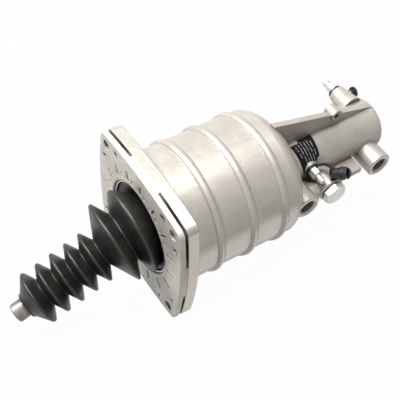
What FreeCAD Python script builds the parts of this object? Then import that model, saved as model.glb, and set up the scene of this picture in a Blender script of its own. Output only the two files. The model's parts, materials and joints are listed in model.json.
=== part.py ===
import FreeCAD, Part
import math
import os
from FreeCAD import Vector

os.makedirs("parts", exist_ok=True)

# Frame: X runs from the push rod end to the rear, Z is up, the ports face -Y.
# The origin is the centre of the front cover's face. All values are millimetres.

# Shared clearances
RUN = 0.05
SLIP = 0.3

# Barrel: its bore drives the flange, the cover and the gaiter's mouth
BORE_R = 62.0
WALL = 4.0
BARREL_R = BORE_R + WALL
RIB_CREST_R = BARREL_R + 2.8
RIB_HALF = 4.4
RIB_X = (50.6, 87.0, 123.4)
DOME_X = (138.0, 161.7)
DOME_END_R = 33.6
DOME_POWER = 1.5
INNER_DOME_X = (134.0, 154.0)
INNER_END_R = 31.0

# Flange and cover
FLANGE_HALF = BARREL_R + 2.7
FLANGE_BULGE = 6.3
FLANGE_CORNER_R = 8.0
FLANGE_EDGE = 0.8
SEAM_EDGE = 0.35
COVER_T = 8.1
FLANGE_REAR_X = 19.6
MOUNT_HALF = FLANGE_HALF - 10.4
MOUNT_HOLE_R = 5.5
CORNER_GAP = 3.0
CONTACT_R = BARREL_R + 12.5
OPENING_R = BORE_R - 14.3
GROOVE_R = OPENING_R + 2.6
GROOVE_X = (4.6, 7.2)
SLOT_COUNT = 16
SLOT_PHASE = -3.0
SLOT_R = OPENING_R + 10.3
SLOT_SIZE = (11.0, 2.4, 2.0)

# Cover screws: countersunk, two beside each corner
SCREW_R = 2.45
SCREW_HOLE_R = 2.75
SCREW_HEAD_R = 4.3
SCREW_HEAD_H = 2.2
SCREW_LEN = 15.0
SCREW_PCR = BARREL_R + 9.3
SCREW_SPREAD = 12.0
SOCKET_R = 2.3

# Cover seal
SEAL_RING_R = BORE_R + 6.0
SEAL_CORD_R = 1.2

# Rear cylinder
REAR_R = 28.0
REAR_END_X = 281.0
REAR_EDGE = 5.0
HYD_BORE_R = 16.0
HYD_BORE_X = (180.0, 270.0)
GUIDE_BORE_R = 18.0

# Top web and eye
WEB_Y = (-4.0, 2.0)
WEB_TOP = ((145.5, BARREL_R - 1.3), (277.5, REAR_R + 0.4))
EYE_POS = (226.0, REAR_R + 13.0)
EYE_R = 6.5
EYE_HOLE_R = 2.6
EYE_Y = (-5.2, 7.2)

# Ports and bosses on the near side, all at one height and standing off the rear cylinder
PORT_Z = -10.0
BOSS_R = 14.0
BOSS_EDGE = 1.2
ROOT_Y = 8.0 - REAR_R
FRONT_PORT = (161.0, -REAR_R - 29.0)
VALVE_PORT = (196.0, -REAR_R - 23.0)
REAR_PORT = (261.0, -REAR_R - 22.0)
PORT_WALL_R = 8.25
PORT_DEPTH = 14.0
PORT_MOUTH = 1.9
CHANNEL_POS = (-REAR_R - 13.0, -12.0)
CHANNEL_R = 10.0
RIDGE_END = (240.5, -REAR_R - 16.5)
PAD = (166.0, 177.0, -8.5, -3.0, REAR_R - 6.0, REAR_R + 3.0)

# Drilled passages: radius, then the y and z of their line
AIR_SUPPLY = (3.0, -REAR_R - 9.0, -12.0)
AIR_OUTLET = (2.5, -REAR_R + 0.5, -13.5)
CONTROL = (1.6, -HYD_BORE_R - 4.2, -10.0)

# Relay valve under its hexagon plug, with the relay piston behind it
RELAY_BORE_R = 7.5
RELAY_FLOOR_Y = 2.0 - REAR_R
RELAY_SEAT_T = 4.0
RELAY_HOLE_R = 3.3
RELAY_LEDGE_T = 1.5
RELAY_DISC_R = 5.4
RELAY_DISC_T = 3.0
RELAY_STEM_R = 2.4
RELAY_PISTON_R = 4.0
RELAY_PISTON_END_Y = CONTROL[1] + 1.7
PLUG_AF = 22.0
PLUG_TURN_DEG = 35.0
PLUG_HEAD_T = 6.6
PLUG_LEN = 9.0
WASHER_T = 1.5
WASHER_R = 11.0

# Bleed screw on the near side
BLEED_X = 183.5
BLEED_Z = 7.0
BLEED_FACE_Y = -REAR_R - 0.4
BLEED_BOSS_R = 8.0
BLEED_R = 3.4
BLEED_HEX_AF = 9.5
BLEED_HEX_H = 8.0
BLEED_NECK_R = 2.6
BLEED_LEN = 17.3

# Dust cap on its strap
CAP_RING_R = 6.8
CAP_RING_T = 1.7
CAP_START = (194.8, BLEED_FACE_Y - 15.8, 10.6)
CAP_END = (210.2, BLEED_FACE_Y - 24.8, 10.6)
CAP_BODY_R = 5.6
CAP_BODY_LEN = 10.0
CAP_HEAD_R = 6.8
CAP_HEAD_LEN = 4.2
CAP_LEN = 17.2
STRAP_X = (189.0, 192.9, 195.6)
STRAP_Y = (BLEED_FACE_Y - 1.6, BLEED_FACE_Y - 4.2, BLEED_FACE_Y - 9.8)
STRAP_Z = (10.0, 13.6, 16.2)
STRAP_HALF = (2.1, 0.75)

# Far side fitting
FAR_X = 266.0
FAR_Z = 18.0
FAR_MOUTH_Y = REAR_R + 9.0
FAR_BASE_R = 13.0
FAR_MOUTH_R = 9.0
FAR_SEAT_Y = 13.0
FAR_THREAD_R = 3.9
FAR_PASSAGE_Z = 15.0
COLLAR_R = 7.6
COLLAR_T = 3.4
NIPPLE_AF = 9.5
NIPPLE_HEX_H = 8.0
NIPPLE_NECK_R = 3.0
NIPPLE_LEN = 17.5
VENT_POS = (REAR_R, 20.0)
VENT_R = 2.9
VENT_CAP_R = (4.2, 5.9)
VENT_CAP_X = (277.8, 282.6)

# Data tag bent around the rear cylinder
TAG_X = 181.6
TAG_SIZE = (28.4, 29.2)
TAG_T = 0.75
TAG_CORNER_R = 3.0
TAG_TURN_DEG = 9.0
TAG_TILT_DEG = 37.0

# Push rod, hanging down about the ball centre
PIVOT_X = -6.0
ROD_DROP_DEG = 20.5
ROD_R = 9.5
ROD_NECK_R = 5.4
ROD_NECK_X = (20.0, 24.0)
ROD_END = 132.0
ROD_GROOVE = (112.4, 122.0)
ROD_GROOVE_R = 9.0
BALL_R = 13.0
SEAT_R = 16.0
SEAT_END_X = 10.5

# Gaiter, distances run along the rod from the ball centre
FOLDS = (106.1, 90.3, 74.5, 58.7, 42.9)
HALF_PITCH = 7.9
FOLD_R = 27.0
FOLD_VALLEY_R = 14.4
CREST_HALF = 0.8
LIP_END = 119.8
LIP_LEN = 6.8

# Big folds, which turn from the rod's line to the main axis: centre x and z, and the ring's tilt
BIG_FOLD_R = OPENING_R - 4.9
BIG_VALLEY_R = 25.0
BIG_CENTRES = ((-24.9, -5.9), (-16.2, -3.1), (-7.4, -0.7))
BIG_TILTS_DEG = (18.1, 14.5, 10.3)
GAITER_WALL = 1.8
MOUTH_VALLEY = (9.4, 30.0)
CLIP_X = (1.9, 3.4)
CLIP_WIDTH = 1.65

# Piston
PISTON_R = BORE_R - SLIP
PISTON_FRONT_X = COVER_T + 0.2
PISTON_REAR_X = 34.0
NOSE_R = 19.0
NOSE_X = -18.0
FACE_X = 14.0
STEM_SOCKET_X = 16.0
STEM_R = 9.0
HUB_R = 20.0
SPRING_MEAN_R = 27.0
SPRING_WIRE_R = 2.0
SPRING_TURNS = 5.5
WEB_REAR_X = 24.0
GUIDE_GROOVE = (12.5, 17.5)
GUIDE_FLOOR_R = BORE_R - 2.6
SEAL_GROOVE = (24.0, 29.4)
SEAL_FLOOR_R = BORE_R - 4.6
RING_X = (-16.0, -14.0)
RING_BORE_R = 9.8
HEAD_X = (186.5, 200.5)
HEAD_GROOVE = (192.0, 197.0)
HEAD_FLOOR_R = 12.0

# Bushing and seal of the plunger's stem
CIRCLIP_T = 1.4
CIRCLIP_X = (INNER_DOME_X[1] + 1.2, INNER_DOME_X[1] + 1.2 + CIRCLIP_T)
BUSH_END_X = 173.9
STEM_SEAL_END_X = 179.8


def vec(x, y, z):
    return Vector(x, y, z)


def rod(r, start, end):
    """Cylinder between two points."""
    axis = end - start
    return Part.makeCylinder(r, axis.Length, start, axis)


def rod_x(r, x0, x1, y=0.0, z=0.0):
    return rod(r, vec(x0, y, z), vec(x1, y, z))


def rod_y(r, y0, y1, x=0.0, z=0.0):
    return rod(r, vec(x, y0, z), vec(x, y1, z))


def tube_x(r_out, r_in, x0, x1):
    return rod_x(r_out, x0, x1).cut(rod_x(r_in, x0 - 1, x1 + 1))


def cone(r0, r1, start, end):
    axis = end - start
    return Part.makeCone(r0, r1, axis.Length, start, axis)


def turned(points):
    """Solid of revolution about X from a closed list of (x, r) points."""
    corners = [vec(x, r, 0) for x, r in points]
    wire = Part.makePolygon(corners + corners[:1])
    return Part.Face(wire).revolve(vec(0, 0, 0), vec(1, 0, 0), 360)


def turned_edges(edges):
    wire = Part.Wire(Part.__sortEdges__(edges))
    return Part.Face(wire).revolve(vec(0, 0, 0), vec(1, 0, 0), 360)


def box(x0, x1, y0, y1, z0, z1):
    return Part.makeBox(x1 - x0, y1 - y0, z1 - z0, vec(x0, y0, z0))


def line(a, b):
    return Part.makeLine(vec(a[0], a[1], 0), vec(b[0], b[1], 0))


def arc(a, m, b):
    return Part.Arc(vec(a[0], a[1], 0), vec(m[0], m[1], 0), vec(b[0], b[1], 0)).toShape()


def join(shapes):
    return shapes[0].multiFuse(shapes[1:]).removeSplitter()


def hexagon_y(across_flats, y0, y1, x, z, turn=0.0):
    """Hexagonal prism along Y with corners eased by a cone at its outer end."""
    r = across_flats / 2 / math.cos(math.pi / 6)
    corners = []
    for k in range(7):
        a = math.radians(turn + 60 * k)
        corners.append(vec(x + r * math.cos(a), y0, z + r * math.sin(a)))
    prism = Part.Face(Part.makePolygon(corners)).extrude(vec(0, y1 - y0, 0))
    end_r = across_flats * 0.49
    ease = cone(end_r + abs(y1 - y0), end_r, vec(x, y0, z), vec(x, y1, z))
    return prism.common(ease)


def flange_plate(x0, x1, ease0, ease1):
    """Square plate with bowed sides, rounded corners and both rims eased."""
    h = FLANGE_HALF
    m = FLANGE_HALF + FLANGE_BULGE
    ends = [(-h, -h), (h, -h), (h, h), (-h, h)]
    mids = [(0, -m), (m, 0), (0, m), (-m, 0)]
    edges = []
    for k in range(4):
        a, b, c = ends[k], mids[k], ends[(k + 1) % 4]
        edges.append(Part.Arc(vec(x0, *a), vec(x0, *b), vec(x0, *c)).toShape())
    plate = Part.Face(Part.Wire(edges)).extrude(vec(x1 - x0, 0, 0))
    corner_edges = []
    for e in plate.Edges:
        p, q = e.Vertexes[0].Point, e.Vertexes[-1].Point
        if abs(abs(p.x - q.x) - (x1 - x0)) < 1e-6 and abs(p.y - q.y) < 1e-6:
            corner_edges.append(e)
    plate = plate.makeFillet(FLANGE_CORNER_R, corner_edges)
    for x, ease in ((x0, ease0), (x1, ease1)):
        rim = [e for e in plate.Edges if abs(e.BoundBox.XMin - x) + abs(e.BoundBox.XMax - x) < 1e-4]
        plate = plate.makeChamfer(ease, rim)
    return plate


def corner_points():
    h = MOUNT_HALF
    return [(h, h), (-h, h), (-h, -h), (h, -h)]


def screw_points():
    points = []
    for quarter in range(4):
        for side in (-1, 1):
            a = math.radians(45 + 90 * quarter + side * SCREW_SPREAD)
            points.append((SCREW_PCR * math.cos(a), SCREW_PCR * math.sin(a)))
    return points


def radial_slots():
    length, width, depth = SLOT_SIZE
    cutters = []
    for k in range(SLOT_COUNT):
        a = SLOT_PHASE + 360.0 / SLOT_COUNT * k
        slot = box(-1, depth, SLOT_R - length / 2, SLOT_R + length / 2, -width / 2, width / 2)
        slot.rotate(vec(0, 0, 0), vec(1, 0, 0), 180 - a)
        cutters.append(slot)
    return cutters


def make_cover():
    plate = flange_plate(0, COVER_T, FLANGE_EDGE, SEAM_EDGE)
    cuts = [rod_x(OPENING_R, -1, COVER_T + 1)]
    cuts.append(rod_x(GROOVE_R, GROOVE_X[0], GROOVE_X[1]))
    cuts.append(cone(OPENING_R + 1.0, OPENING_R, vec(0, 0, 0), vec(1.0, 0, 0)))
    relief = box(COVER_T - CORNER_GAP, COVER_T + 1, -90, 90, -90, 90)
    cuts.append(relief.cut(rod_x(CONTACT_R, 0, COVER_T + 2)))
    for y, z in corner_points():
        cuts.append(rod_x(MOUNT_HOLE_R, -1, COVER_T + 1, y, z))
    for y, z in screw_points():
        cuts.append(rod_x(SCREW_HOLE_R, -1, COVER_T + 1, y, z))
        sink = SCREW_HEAD_R + 0.1
        cuts.append(cone(sink, SCREW_HOLE_R, vec(0, y, z), vec(SCREW_HEAD_H, y, z)))
    cuts += radial_slots()
    for cutter in cuts:
        plate = plate.cut(cutter)
    return plate


def make_cover_screws():
    screws = []
    for y, z in screw_points():
        shank = rod_x(SCREW_R, 0, SCREW_LEN, y, z)
        head = cone(SCREW_HEAD_R, SCREW_R, vec(0.05, y, z), vec(0.05 + SCREW_HEAD_H, y, z))
        socket = rod_x(SOCKET_R, -1, 2.6, y, z)
        screws.append(head.fuse(shank).cut(socket).cut(rod_x(6, -2, 0.05, y, z)))
    return Part.makeCompound(screws)


def make_cover_seal():
    return Part.makeTorus(SEAL_RING_R, SEAL_CORD_R, vec(COVER_T + SEAL_CORD_R, 0, 0), vec(1, 0, 0))


def dome_points(x_span, r_end, r_start, count=9):
    points = []
    for k in range(count):
        t = k / (count - 1)
        drop = (1 - t ** DOME_POWER) ** (1 / DOME_POWER)
        x = x_span[0] + (x_span[1] - x_span[0]) * t
        points.append(vec(x, r_end + (r_start - r_end) * drop, 0))
    return points


def dome_edge(x_span, r_end, r_start):
    curve = Part.BSplineCurve()
    curve.interpolate(dome_points(x_span, r_end, r_start))
    return curve.toShape()


def barrel_profile():
    x, r = FLANGE_REAR_X - 2, BARREL_R
    foot = 4.0
    edges = [line((x, 0), (x, r + foot)), line((x, r + foot), (FLANGE_REAR_X, r + foot))]
    bend = foot * (1 - math.sqrt(0.5))
    end = (FLANGE_REAR_X + foot, r)
    edges.append(arc((FLANGE_REAR_X, r + foot), (FLANGE_REAR_X + bend, r + bend), end))
    last = end
    for xc in RIB_X:
        edges.append(line(last, (xc - RIB_HALF, r)))
        edges.append(arc((xc - RIB_HALF, r), (xc, RIB_CREST_R), (xc + RIB_HALF, r)))
        last = (xc + RIB_HALF, r)
    edges.append(line(last, (DOME_X[0], r)))
    edges.append(dome_edge(DOME_X, DOME_END_R, r))
    return edges


def outer_body():
    edges = barrel_profile()
    x, r = DOME_X[1], DOME_END_R
    foot = (x + 5.0, REAR_R)
    edges.append(arc((x, r), (x + 1.2, r - 3.9), foot))
    edges.append(line(foot, (REAR_END_X - REAR_EDGE, REAR_R)))
    e = REAR_EDGE
    mid = (REAR_END_X - e + e * math.sqrt(0.5), REAR_R - e + e * math.sqrt(0.5))
    edges.append(arc((REAR_END_X - e, REAR_R), mid, (REAR_END_X, REAR_R - e)))
    edges.append(line((REAR_END_X, REAR_R - e), (REAR_END_X, 0)))
    edges.append(line((REAR_END_X, 0), (FLANGE_REAR_X - 2, 0)))
    return turned_edges(edges)


def top_web():
    (x0, z0), (x1, z1) = WEB_TOP
    y0, y1 = WEB_Y
    root = REAR_R - 8
    outline = [(x0, z0), (x1, z1), (x1, root), (x0 + 16, root), (x0 - 1, z0 - 18)]
    points = [vec(x, y0, z) for x, z in outline]
    return Part.Face(Part.makePolygon(points + points[:1])).extrude(vec(0, y1 - y0, 0))


def port_boss(place):
    x, mouth = place
    body = rod_y(BOSS_R, mouth + BOSS_EDGE, ROOT_Y + 2, x, PORT_Z)
    edge = cone(BOSS_R - BOSS_EDGE, BOSS_R, vec(x, mouth, PORT_Z), vec(x, mouth + BOSS_EDGE, PORT_Z))
    return body.fuse(edge)


def near_side_solids():
    solids = [port_boss(p) for p in (FRONT_PORT, VALVE_PORT, REAR_PORT)]
    y, z = CHANNEL_POS
    solids.append(rod_x(CHANNEL_R, FRONT_PORT[0] - 8, VALVE_PORT[0], y, z))
    solids.append(box(FRONT_PORT[0], VALVE_PORT[0], y, ROOT_Y, PORT_Z - 8, PORT_Z + 1))
    solids.append(box(VALVE_PORT[0], RIDGE_END[0], RIDGE_END[1], ROOT_Y, PORT_Z - 4, PORT_Z + 3))
    solids.append(rod_y(BLEED_BOSS_R, BLEED_FACE_Y, ROOT_Y, BLEED_X, BLEED_Z))
    pad = box(*PAD)
    solids.append(pad.makeFillet(1.2, [e for e in pad.Edges if e.BoundBox.ZMin > PAD[5] - 0.01]))
    return solids


def far_side_solids():
    base = vec(FAR_X, 12, FAR_Z)
    solids = [cone(FAR_BASE_R, FAR_MOUTH_R, base, vec(FAR_X, FAR_MOUTH_Y, FAR_Z))]
    solids.append(rod_x(VENT_R, FAR_X, VENT_CAP_X[1] - 2.5, *VENT_POS))
    return solids


def eye_solid():
    x, z = EYE_POS
    return rod_y(EYE_R, EYE_Y[0], EYE_Y[1], x, z)


def inner_space():
    """Air cylinder and hydraulic bore as one turned cutter."""
    x0 = COVER_T - 1
    x1, x2 = INNER_DOME_X
    edges = [line((x0, 0), (x0, BORE_R)), line((x0, BORE_R), (x1, BORE_R))]
    edges.append(dome_edge(INNER_DOME_X, INNER_END_R, BORE_R))
    steps = [(x2, INNER_END_R), (x2, GUIDE_BORE_R), (HYD_BORE_X[0], GUIDE_BORE_R)]
    steps += [(HYD_BORE_X[0], HYD_BORE_R), (HYD_BORE_X[1], HYD_BORE_R), (HYD_BORE_X[1], 0), (x0, 0)]
    for a, b in zip(steps, steps[1:]):
        edges.append(line(a, b))
    return turned_edges(edges)


def threaded_bore(place):
    x, mouth = place
    bottom = mouth + PORT_DEPTH
    bore = rod_y(PORT_WALL_R, mouth - 1, bottom, x, PORT_Z)
    wide = PORT_WALL_R + PORT_MOUTH
    return bore.fuse(cone(wide, PORT_WALL_R, vec(x, mouth, PORT_Z), vec(x, mouth + PORT_MOUTH, PORT_Z)))


def near_side_cuts():
    """Ports, the relay valve's bore and the passages that join them."""
    x = VALVE_PORT[0]
    cuts = [threaded_bore(p) for p in (FRONT_PORT, VALVE_PORT, REAR_PORT)]
    cuts.append(rod_y(5.0, FRONT_PORT[1], AIR_SUPPLY[1] + 1, FRONT_PORT[0], PORT_Z))
    cuts.append(rod_x(AIR_SUPPLY[0], FRONT_PORT[0], x, *AIR_SUPPLY[1:]))
    cuts.append(rod_y(RELAY_BORE_R, VALVE_PORT[1], RELAY_FLOOR_Y, x, PORT_Z))
    cuts.append(rod_y(RELAY_PISTON_R, RELAY_FLOOR_Y - 1, RELAY_PISTON_END_Y, x, PORT_Z))
    cuts.append(rod_x(AIR_OUTLET[0], INNER_DOME_X[1] - 1, x - 3, *AIR_OUTLET[1:]))
    cuts.append(rod_x(CONTROL[0], BLEED_X, REAR_PORT[0], *CONTROL[1:]))
    cuts.append(rod_y(4.0, REAR_PORT[1], -8.0, REAR_PORT[0], PORT_Z))
    cuts.append(rod_y(BLEED_R + RUN, BLEED_FACE_Y - 1, CONTROL[1], BLEED_X, BLEED_Z))
    cuts.append(rod(1.3, vec(BLEED_X, CONTROL[1], BLEED_Z), vec(BLEED_X, CONTROL[1], CONTROL[2])))
    return cuts


def far_side_cuts():
    cuts = [rod_y(FAR_THREAD_R + RUN, FAR_SEAT_Y, FAR_MOUTH_Y + 1, FAR_X, FAR_Z)]
    cuts.append(rod_y(2.0, 2.0, FAR_SEAT_Y + 1, FAR_X, FAR_PASSAGE_Z))
    cuts.append(rod_x(1.6, FAR_X + 4, VENT_CAP_X[1], *VENT_POS))
    x, z = EYE_POS
    cuts.append(rod_y(EYE_HOLE_R, EYE_Y[0] - 1, EYE_Y[1] + 1, x, z))
    return cuts


def flange_cuts():
    cuts = []
    for y, z in corner_points():
        cuts.append(rod_x(MOUNT_HOLE_R, COVER_T - 1, FLANGE_REAR_X + 2, y, z))
    for y, z in screw_points():
        cuts.append(rod_x(SCREW_R + RUN, COVER_T - 1, SCREW_LEN + 2, y, z))
    depth = 2 * SEAL_CORD_R
    groove = tube_x(SEAL_RING_R + 1.3, SEAL_RING_R - 1.3, COVER_T - 0.5, COVER_T + depth)
    cuts.append(groove)
    cuts.append(tube_x(GUIDE_BORE_R + 1.0, GUIDE_BORE_R - 1, CIRCLIP_X[0] - RUN, CIRCLIP_X[1] + RUN))
    return cuts


def make_housing():
    plate = flange_plate(COVER_T, FLANGE_REAR_X, SEAM_EDGE, FLANGE_EDGE)
    solids = [outer_body(), plate, top_web(), eye_solid()]
    solids += near_side_solids()
    solids += far_side_solids()
    body = solids[0]
    for solid in solids[1:]:
        body = body.fuse(solid)
    cuts = [inner_space()] + near_side_cuts() + far_side_cuts() + flange_cuts()
    for cutter in cuts:
        body = body.cut(cutter)
    return body


PIVOT = vec(PIVOT_X, 0, 0)


def dropped(degrees):
    """Direction toward the rod's end, turned down from the main axis."""
    a = math.radians(degrees)
    return vec(-math.cos(a), 0, -math.sin(a))


ROD_DIR = dropped(ROD_DROP_DEG)


def to_rod_axis(shape):
    """Turns a solid built about +X from the origin onto the tilted rod axis."""
    turn = FreeCAD.Rotation(vec(1, 0, 0), ROD_DIR)
    shape.Placement = FreeCAD.Placement(PIVOT, turn)
    return shape


def make_push_rod():
    seat = math.sqrt(BALL_R ** 2 - ROD_NECK_R ** 2)
    g0, g1 = ROD_GROOVE
    n0, n1 = ROD_NECK_X
    points = [(seat - 3, 0), (seat - 3, ROD_NECK_R), (n0, ROD_NECK_R), (n1, ROD_R), (g0, ROD_R)]
    points += [(g0 + 0.5, ROD_GROOVE_R), (g1, ROD_GROOVE_R), (g1, ROD_R)]
    points += [(ROD_END - 1, ROD_R), (ROD_END, ROD_R - 1), (ROD_END, 0)]
    ball = Part.makeSphere(BALL_R)
    return to_rod_axis(turned(points).fuse(ball).removeSplitter())


def small_folds_outline():
    points = []
    for s in reversed(FOLDS):
        points += [(s - HALF_PITCH - 0.6, FOLD_VALLEY_R), (s - HALF_PITCH + 0.6, FOLD_VALLEY_R)]
        points += [(s - CREST_HALF, FOLD_R), (s + CREST_HALF, FOLD_R)]
    points += [(LIP_END - 2.4, 13.2), (LIP_END - 1.0, 12.4), (LIP_END, 12.4)]
    return points


def small_folds_lining():
    w = GAITER_WALL
    points = [(LIP_END, ROD_GROOVE_R + RUN), (LIP_END - LIP_LEN, ROD_GROOVE_R + RUN)]
    for s in FOLDS:
        points += [(s, FOLD_R - w - 0.6), (s - HALF_PITCH, FOLD_VALLEY_R - w)]
    points.append((FOLDS[-1] - HALF_PITCH - 0.6, FOLD_VALLEY_R - w))
    return points


def ring_wire(centre, axis, r):
    return Part.Wire(Part.makeCircle(r, centre, axis))


def big_folds_loft(crest_r, valley_r, start_r, end_r):
    """Ruled loft from the last small valley over both big folds to the mouth's valley."""
    rings = [ring_wire(PIVOT + ROD_DIR * (FOLDS[-1] - HALF_PITCH + 0.3), ROD_DIR, start_r)]
    for (x, z), degrees, r in zip(BIG_CENTRES, BIG_TILTS_DEG, (crest_r, valley_r, crest_r)):
        axis = dropped(degrees)
        for side in (CREST_HALF, -CREST_HALF):
            rings.append(ring_wire(vec(x, 0, z) + axis * side, axis, r))
    rings.append(ring_wire(vec(MOUTH_VALLEY[0] + 0.6, 0, 0), dropped(0), end_r))
    return Part.makeLoft(rings, True, True)


def gaiter_mouth():
    """Bead in the cover's groove, and the curl from it down to the valley behind the big folds."""
    x, r = MOUTH_VALLEY
    w = GAITER_WALL
    rim = OPENING_R - 0.5
    span = rim - r
    g0, g1 = GROOVE_X[0] + 0.15, GROOVE_X[1] - 0.15
    front = [(g0, GROOVE_R - SLIP), (g0, rim), (g0 - 0.55, r + 0.94 * span), (g0 - 1.25, r + 0.785 * span)]
    front += [(g0 - 1.15, r + 0.64 * span), (g0 + 0.45, r + 0.407 * span), (x - 1.3, r + 0.151 * span)]
    front.append((x, r))
    back = [(x, r - w), (x + w, r), (g1 + 0.15, r + 0.442 * span), (g1 - 1.35, r + 0.669 * span)]
    back += [(g1 - 1.45, r + 0.785 * span), (g1, r + 0.953 * span), (g1, GROOVE_R - SLIP)]
    return turned(front + back)


def make_gaiter():
    w, r = GAITER_WALL, MOUTH_VALLEY[1]
    small = to_rod_axis(turned(small_folds_outline() + small_folds_lining()))
    big = big_folds_loft(BIG_FOLD_R, BIG_VALLEY_R, FOLD_VALLEY_R, r)
    hollow = big_folds_loft(BIG_FOLD_R - w - 0.6, BIG_VALLEY_R - w, FOLD_VALLEY_R - w, r - w)
    return join([small, big.cut(hollow), gaiter_mouth()])


def make_gaiter_clip():
    r = OPENING_R - 0.35
    return tube_x(r, r - CLIP_WIDTH, *CLIP_X)


def make_piston():
    f, b = PISTON_FRONT_X, PISTON_REAR_X
    seat, ring = SEAT_R + RUN, SEAT_R + 1.1
    land = OPENING_R + 0.2
    outer = [(NOSE_X, seat), (NOSE_X, NOSE_R), (FACE_X, NOSE_R + 1.5), (FACE_X, land - 1.4), (f, land)]
    outer += [(f, PISTON_R - 1)]
    outer += [(f + 1, PISTON_R), (GUIDE_GROOVE[0], PISTON_R), (GUIDE_GROOVE[0], GUIDE_FLOOR_R)]
    outer += [(GUIDE_GROOVE[1], GUIDE_FLOOR_R), (GUIDE_GROOVE[1], PISTON_R), (SEAL_GROOVE[0], PISTON_R)]
    outer += [(SEAL_GROOVE[0], SEAL_FLOOR_R), (SEAL_GROOVE[1], SEAL_FLOOR_R), (SEAL_GROOVE[1], PISTON_R)]
    outer += [(b, PISTON_R), (b, PISTON_R - 7.7), (WEB_REAR_X, PISTON_R - 10.7), (WEB_REAR_X, HUB_R)]
    outer += [(b + 2, HUB_R - 1.5)]
    floor, socket = SEAT_END_X + 0.1, STEM_SOCKET_X
    inner = [(b + 2, STEM_R + RUN), (socket, STEM_R + RUN), (socket, 0), (floor, 0), (floor, seat)]
    r0, r1 = RING_X[0] - RUN, RING_X[1] + RUN
    inner += [(r1, seat), (r1, ring), (r0, ring), (r0, seat)]
    return turned(outer + inner)


def make_piston_guide_ring():
    return tube_x(BORE_R - RUN, GUIDE_FLOOR_R + 0.1, GUIDE_GROOVE[0] + 0.1, GUIDE_GROOVE[1] - 0.1)


def make_piston_seal():
    a, b = SEAL_GROOVE[0] + 0.15, SEAL_GROOVE[1] - 0.15
    r0, r1 = SEAL_FLOOR_R + 0.1, BORE_R - RUN
    points = [(a, r0), (b, r0), (b, r0 + 1.1), (a + 2.4, r0 + 1.9), (b, r1 - 0.6), (b, r1)]
    points += [(b - 1.2, r1), (a, r1 - 0.9)]
    return turned(points)


def make_rod_seat():
    cup = rod_x(SEAT_R, PIVOT_X, SEAT_END_X)
    return cup.cut(Part.makeSphere(BALL_R + RUN, PIVOT))


def make_rod_retainer():
    ring = tube_x(SEAT_R + 1.0, RING_BORE_R, *RING_X)
    return ring.cut(Part.makeSphere(BALL_R + 0.15, PIVOT))


def make_return_spring():
    x0 = WEB_REAR_X + SPRING_WIRE_R
    x1 = INNER_DOME_X[1] - SPRING_WIRE_R
    pitch = (x1 - x0) / SPRING_TURNS
    helix = Part.makeHelix(pitch, x1 - x0, SPRING_MEAN_R)
    section = Part.Wire(Part.makeCircle(SPRING_WIRE_R, vec(SPRING_MEAN_R, 0, 0), vec(0, 1, 0)))
    coil = Part.Wire(helix).makePipeShell([section], True, True)
    coil.rotate(vec(0, 0, 0), vec(0, 1, 0), 90)
    coil.translate(vec(x0, 0, 0))
    return coil


def make_plunger():
    """Plunger with a grooved head, pushed forward by the fluid behind it."""
    a, b = HEAD_X
    g0, g1 = HEAD_GROOVE
    r, floor, x0 = HYD_BORE_R - 0.1, HEAD_FLOOR_R, STEM_SOCKET_X + 0.2
    points = [(x0, 0), (x0, STEM_R), (a, STEM_R), (a, r), (g0, r), (g0, floor), (g1, floor), (g1, r)]
    points += [(b - 1, r), (b, r - 1), (b, 0)]
    return turned(points)


def make_plunger_seal():
    a, b = HEAD_GROOVE[0] + 0.1, HEAD_GROOVE[1] - 0.1
    r0, r1 = HEAD_FLOOR_R + 0.1, HYD_BORE_R - RUN
    points = [(a, r0), (b, r0), (b, r0 + 1.1), (a + 2.2, r0 + 1.9), (b, r1 - 0.75)]
    points += [(b, r1), (b - 1.4, r1), (a, r1 - 0.55)]
    return turned(points)


def make_plunger_guide():
    return tube_x(GUIDE_BORE_R - RUN, STEM_R + RUN, CIRCLIP_X[1] + 0.1, BUSH_END_X)


def make_stem_seal():
    r0, r1 = STEM_R + RUN, GUIDE_BORE_R - RUN
    a, b = BUSH_END_X + 0.1, STEM_SEAL_END_X
    points = [(a, r0 + 0.6), (a, r1), (b, r1), (b, r1 - 2.2), (a + 2.6, r1 - 4.0)]
    points += [(b, r0 + 1.4), (b, r0), (b - 1.4, r0)]
    return turned(points)


def make_guide_circlip():
    a, b = CIRCLIP_X
    ring = tube_x(GUIDE_BORE_R + 0.9, GUIDE_BORE_R - 3.5, a, b)
    return ring.cut(box(a - 1, b + 1, -3.5, 3.5, -GUIDE_BORE_R - 2, 0))


def make_relay_seat():
    """Seat ring with a waist and a cross hole that lead the air to its outlet."""
    x = VALVE_PORT[0]
    y0, y1 = RELAY_FLOOR_Y - 0.1 - RELAY_SEAT_T, RELAY_FLOOR_Y - 0.1
    ring = rod_y(RELAY_BORE_R - RUN, y0, y1, x, PORT_Z)
    waist = rod_y(RELAY_BORE_R + 1, y0 + 1, y1 - 1, x, PORT_Z)
    ring = ring.cut(waist.cut(rod_y(RELAY_BORE_R - 1.5, y0, y1, x, PORT_Z)))
    ring = ring.cut(rod_y(RELAY_HOLE_R, y0 - 1, y1 + 1, x, PORT_Z))
    ring = ring.cut(rod_y(RELAY_PISTON_R + SLIP, y0 + RELAY_LEDGE_T, y1 + 1, x, PORT_Z))
    return ring.cut(rod_x(0.8, x - RELAY_BORE_R, x, (y0 + y1) / 2, PORT_Z))


def relay_disc_y():
    return RELAY_FLOOR_Y - RELAY_SEAT_T - 0.3


def make_relay_valve():
    x = VALVE_PORT[0]
    y = relay_disc_y()
    disc = rod_y(RELAY_DISC_R, y - RELAY_DISC_T, y, x, PORT_Z)
    stem = rod_y(RELAY_STEM_R, VALVE_PORT[1] + PLUG_LEN - 2.0, y - 1, x, PORT_Z)
    return disc.fuse(stem).removeSplitter()


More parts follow.
